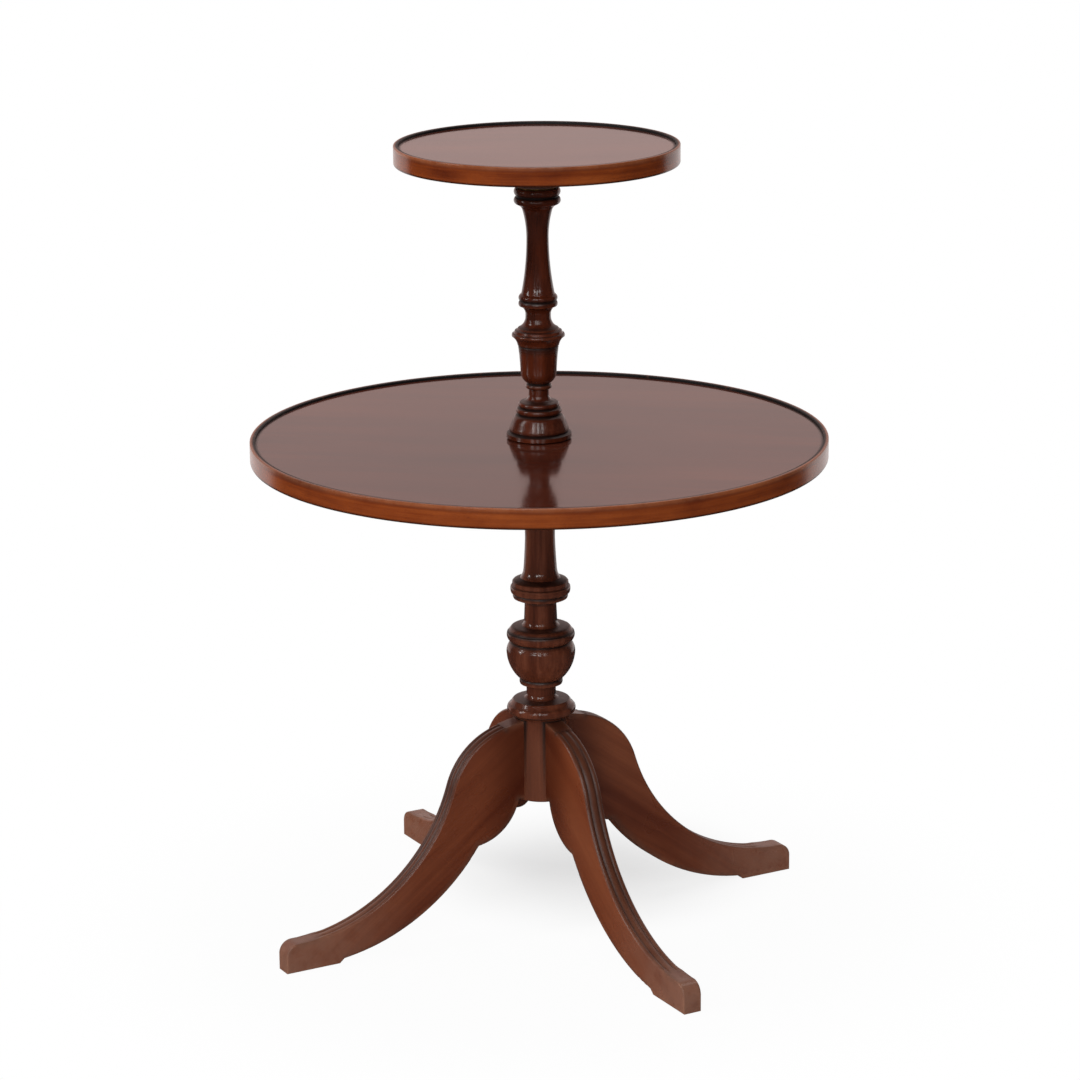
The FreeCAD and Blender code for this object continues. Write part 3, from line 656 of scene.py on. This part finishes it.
def makeBoard(body, tier):
    def giveGrain(mesh):
        addGrain(mesh, tier["along"], tier["offset"])
        addLayer(mesh, "edge", [tier["edge"]] * len(mesh.vertices))

    nodeName = body + "_board"
    polish(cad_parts[nodeName].data, nodeName, body, "tierMahogany", giveGrain)


roundedRim = rimTree()
for body, tier in tiers.items():
    makeRim(roundedRim, body, tier["rim"])
    makeBoard(body, tier)

undersides = {
    "lower_tier_bearer": {"body": "lower_tier", "along": (0.2, 1.0, 0.0), "offset": (0.3, 0.3, 0.3)},
    "upper_tier_boss": {"body": "upper_tier", "along": (1.0, 0.4, 0.0), "offset": (0.6, 0.2, 0.8)},
}
for nodeName, turning in undersides.items():
    polishedCopy(nodeName, turning["body"], "undersideMahogany", turning["along"], turning["offset"])
print("tiers made")


# Wood screws with slotted heads, each ring of them looking down under its tier

screws = {
    "head": 0.0042,
    "headDepth": 0.0026,
    "shank": 0.0021,  # radius, as the head's is
    "point": 0.004,
    "slot": (0.012, 0.0009, 0.0016),  # the cutter's size; half of its height goes into the head
    "sides": 40,
    "rings": {
        "lower_tier_screws": {
            "body": "lower_tier", "count": 6, "radius": 0.048, "length": 0.03, "seed": 3,
        },
        "upper_tier_screws": {
            "body": "upper_tier", "count": 4, "radius": 0.036, "length": 0.024, "seed": 8,
        },
    },
}


def screwTree():
    tree = Tree("slottedScrews", {
        "Count": ("NodeSocketInt", 6), "Radius": ("NodeSocketFloat", 0.048),
        "Length": ("NodeSocketFloat", 0.03), "Foot": ("NodeSocketFloat", 0.5),
        "Seed": ("NodeSocketInt", 0), "Material": ("NodeSocketMaterial", None),
    })

    def cone(low, high, depth, foot):
        solid = tree.node("GeometryNodeMeshCone", None, {
            "Vertices": screws["sides"], "Radius Top": high, "Radius Bottom": low, "Depth": depth,
        })
        return tree.lifted(solid, foot)

    length, depth, thin = tree.given("Length"), screws["headDepth"], screws["shank"]
    cutter = tree.node("GeometryNodeMeshCube", None, {"Size": screws["slot"]})
    slotted = tree.node("GeometryNodeMeshBoolean", {"operation": "DIFFERENCE"}, {
        "Mesh 1": cone(screws["head"], thin, depth, 0.0), "Mesh 2": cutter,
    })
    shank = cone(thin, thin, length - depth - screws["point"], depth)
    point = cone(thin, 0.0, screws["point"], length - screws["point"])
    screw = tree.node("GeometryNodeJoinGeometry")
    for solid in (slotted, shank, point):
        tree.tree.links.new(solid.socket, screw.socket.node.inputs[0])
    spin = tree.node("FunctionNodeRandomValue", {"data_type": "FLOAT"}, {
        "Max": math.pi, "Seed": tree.given("Seed"),
    }, out=1)
    ring = tree.node("GeometryNodeMeshCircle", None, {
        "Vertices": tree.given("Count"), "Radius": tree.given("Radius"),
    })
    placed = tree.node("GeometryNodeInstanceOnPoints", None, {
        "Points": ring, "Instance": screw, "Rotation": tree.node("ShaderNodeCombineXYZ", None, {"Z": spin}),
    })
    tree.finish(tree.lifted(placed, tree.given("Foot")))
    return tree


slottedScrews = screwTree()
for nodeName, ring in screws["rings"].items():
    mesh = grow(slottedScrews, nodeName + "_slotted", {
        "Count": ring["count"], "Radius": ring["radius"], "Length": ring["length"], "Seed": ring["seed"],
        "Foot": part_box(nodeName)[0][2], "Material": finishes["turnedSteel"],
    })
    piece = newPiece(mesh, "turnedSteel")
    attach(piece, ring["body"])
    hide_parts(nodeName)
print("screws driven")


# Pivots: brass sleeves and washers on a steel stud and pin

metalNodes = {
    "turnedBrass": ["lower_bush", "lower_washer", "upper_washer", "upper_bush"],
    "turnedSteel": ["centre_stud", "upper_pin"],
}
for finish, names in metalNodes.items():
    for name in names:
        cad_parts[name].material_slots[0].material = finishes[finish]
print("metal nodes finished")


# Studio: a pale floor before a pale wall, a soft glow from the left, and windows behind the camera

studio = {
    "floorHalf": 30.0,
    "shadowPlace": (0.01, 0.165, 0.0),  # middle of the darker patch behind the hub
    "shadowReach": (0.02, 0.23),  # metres from there over which the floor's shading fades out
    "shadowShare": 0.34,  # share of the floor there that shows its shading, the rest is plain white
    "floorReach": (0.3, 0.6),  # metres from the column over which the last of it fades out
    "floorShare": 0.04,
    "floorSeen": (0.9, 0.9, 0.9, 1.0),
    "floorMirrored": (0.06, 0.055, 0.055, 1.0),  # what the polish shows of the floor
    "wallHalf": (0.5, 0.62),  # cosines of the angle from straight behind, where the pale wall ends
    "wallStart": (1.4, 1.8),  # metres from the column at which the floor turns pale as the wall
    "wallFoot": (0.95, 0.86, 0.84, 1.0),
    "wallColour": (1.0, 0.76, 0.72, 1.0),
    "wallLevel": 0.84,
    "wallFall": 0.5,  # how much darker what is mirrored gets with its height
    "roomLevel": 0.06,
    "glow": {"turn": -45.0, "rise": 6.0, "level": 1.05},
    "shade": 0.1,  # light from everywhere else
    "aim": (0.0, 0.0, 0.45),
}
windows = {
    "turns": (-76.0, -24.0, -5.0, 14.0),  # degrees to the right of the camera, seen from the table
    "rises": (16.0, 28.0, 40.0),
    "distance": 5.0,
    "size": (0.62, 0.38),
    "powers": (13.0, 10.0, 9.0, 6.0),
}
overhead = {"place": (0.3, 0.9, 3.8), "size": (2.2, 2.2), "power": 40.0}
lens = {
    "place": (1.0527, -3.6784, 1.4815),
    "turn": 15.97,
    "down": 15.397,
    "roll": -0.468,
    "focal": 124.34,
}


def compass(turn, rise=0.0):  # direction from the table, turn degrees to the right of the camera
    angle, lift = math.radians(lens["turn"] + turn), math.radians(rise)
    return Vector((math.sin(angle) * math.cos(lift), -math.cos(angle) * math.cos(lift), math.sin(lift)))


def alongside(shader, direction, turn, rise=0.0):  # cosine between two directions
    return shader.node("ShaderNodeVectorMath", {"operation": "DOT_PRODUCT"},
                       {0: direction, 1: compass(turn, rise)}, out="Value")


def levelled(shader, place):
    flat = place.scaled((1.0, 1.0, 0.0))
    return shader.node("ShaderNodeVectorMath", {"operation": "NORMALIZE"}, {0: flat})


def makeFloor():
    half = studio["floorHalf"]
    mesh = bpy.data.meshes.new("floor")
    corners = [(-half, -half, 0.0), (half, -half, 0.0), (half, half, 0.0), (-half, half, 0.0)]
    mesh.from_pydata(corners, [], [(0, 1, 2, 3)])
    floor = bpy.data.objects.new("floor", mesh)
    bpy.context.scene.collection.objects.link(floor)
    material, shader = newMaterial("paleFloor")
    path = shader.node("ShaderNodeLightPath", out="Is Camera Ray")
    place = shader.node("ShaderNodeTexCoord", out="Object")
    reach = shader.length(place)
    fromShadow = {0: place, 1: studio["shadowPlace"]}
    apart = shader.node("ShaderNodeVectorMath", {"operation": "DISTANCE"}, fromShadow, out="Value")
    shaded = (1.0 - apart.between(*studio["shadowReach"])) * studio["shadowShare"]
    plain = 1.0 - shaded - (1.0 - reach.between(*studio["floorReach"])) * studio["floorShare"]
    behind = alongside(shader, levelled(shader, place), 180.0).between(*studio["wallHalf"])
    behind = behind * reach.between(*studio["wallStart"])
    paper = shader.node("ShaderNodeBsdfDiffuse", None, {"Color": studio["floorSeen"]})
    dark = shader.node("ShaderNodeBsdfDiffuse", None, {"Color": studio["floorMirrored"]})
    pale = shader.node("ShaderNodeEmission", None, {"Color": studio["wallFoot"], "Strength": 1.0})
    white = shader.node("ShaderNodeEmission", None, {"Color": (1.0, 1.0, 1.0, 1.0), "Strength": 1.0})
    mirrored = shader.node("ShaderNodeMixShader", None, {0: behind, 1: dark, 2: pale})
    lit = shader.node("ShaderNodeMixShader", None, {0: path.of("Is Glossy Ray"), 1: paper, 2: mirrored})
    surface = shader.node("ShaderNodeMixShader", None, {0: path * plain, 1: lit, 2: white})
    shader.node("ShaderNodeOutputMaterial", None, {"Surface": surface})
    floor.data.materials.append(material)


def makeWorld():
    world = bpy.data.worlds.new("studio")
    bpy.context.scene.world = world
    world.use_nodes = True
    shader = Shader(world.node_tree)
    path = shader.node("ShaderNodeLightPath", out="Is Camera Ray")
    direction = shader.node("ShaderNodeTexCoord", out="Generated")
    behind = alongside(shader, levelled(shader, direction), 180.0).between(*studio["wallHalf"])
    height = shader.part(direction, "Z")
    wall = studio["wallLevel"] - studio["roomLevel"] - height * studio["wallFall"]
    room = behind * wall.clamped() + studio["roomLevel"]
    glow = studio["glow"]
    soft = alongside(shader, direction, glow["turn"], glow["rise"]).clamped() * glow["level"]
    soft = soft + studio["shade"]
    level = path.of("Is Glossy Ray") * (room - soft) + soft
    level = path * (1.0 - level) + level
    tint = shader.mix(path.of("Is Glossy Ray"), (1.0, 1.0, 1.0, 1.0), studio["wallColour"])
    background = shader.node("ShaderNodeBackground", None, {"Color": tint, "Strength": level})
    shader.node("ShaderNodeOutputWorld", None, {"Surface": background})


def makeLamp(name, place, size, power):
    data = bpy.data.lights.new(name, "AREA")
    data.shape = "RECTANGLE"
    data.size, data.size_y = size
    data.energy = power
    lamp = bpy.data.objects.new(name, data)
    bpy.context.scene.collection.objects.link(lamp)
    lamp.location = place
    lamp.rotation_euler = (Vector(studio["aim"]) - lamp.location).to_track_quat("-Z", "Y").to_euler()


def makeLamps():
    for turn, power in zip(windows["turns"], windows["powers"]):
        for rise in windows["rises"]:
            place = Vector(studio["aim"]) + compass(turn, rise) * windows["distance"]
            makeLamp("window", place, windows["size"], power)
    makeLamp("overhead", overhead["place"], overhead["size"], overhead["power"])


def makeCamera():
    data = bpy.data.cameras.new("camera")
    data.sensor_width = 36.0
    data.lens = lens["focal"]
    data.clip_end = 100.0
    camera = bpy.data.objects.new("camera", data)
    bpy.context.scene.collection.objects.link(camera)
    turn, down, roll = (math.radians(lens[key]) for key in ("turn", "down", "roll"))
    forward = Vector((-math.sin(turn) * math.cos(down), math.cos(turn) * math.cos(down), -math.sin(down)))
    level = forward.cross(Vector((0.0, 0.0, 1.0))).normalized()
    up = level.cross(forward)
    right = level * math.cos(roll) + up * math.sin(roll)
    above = up * math.cos(roll) - level * math.sin(roll)
    turned = Matrix((right, above, -forward)).transposed().to_4x4()
    camera.matrix_world = Matrix.Translation(lens["place"]) @ turned
    bpy.context.scene.camera = camera


makeFloor()
makeWorld()
makeLamps()
makeCamera()
bpy.context.scene.view_settings.view_transform = "Standard"
print("studio made")
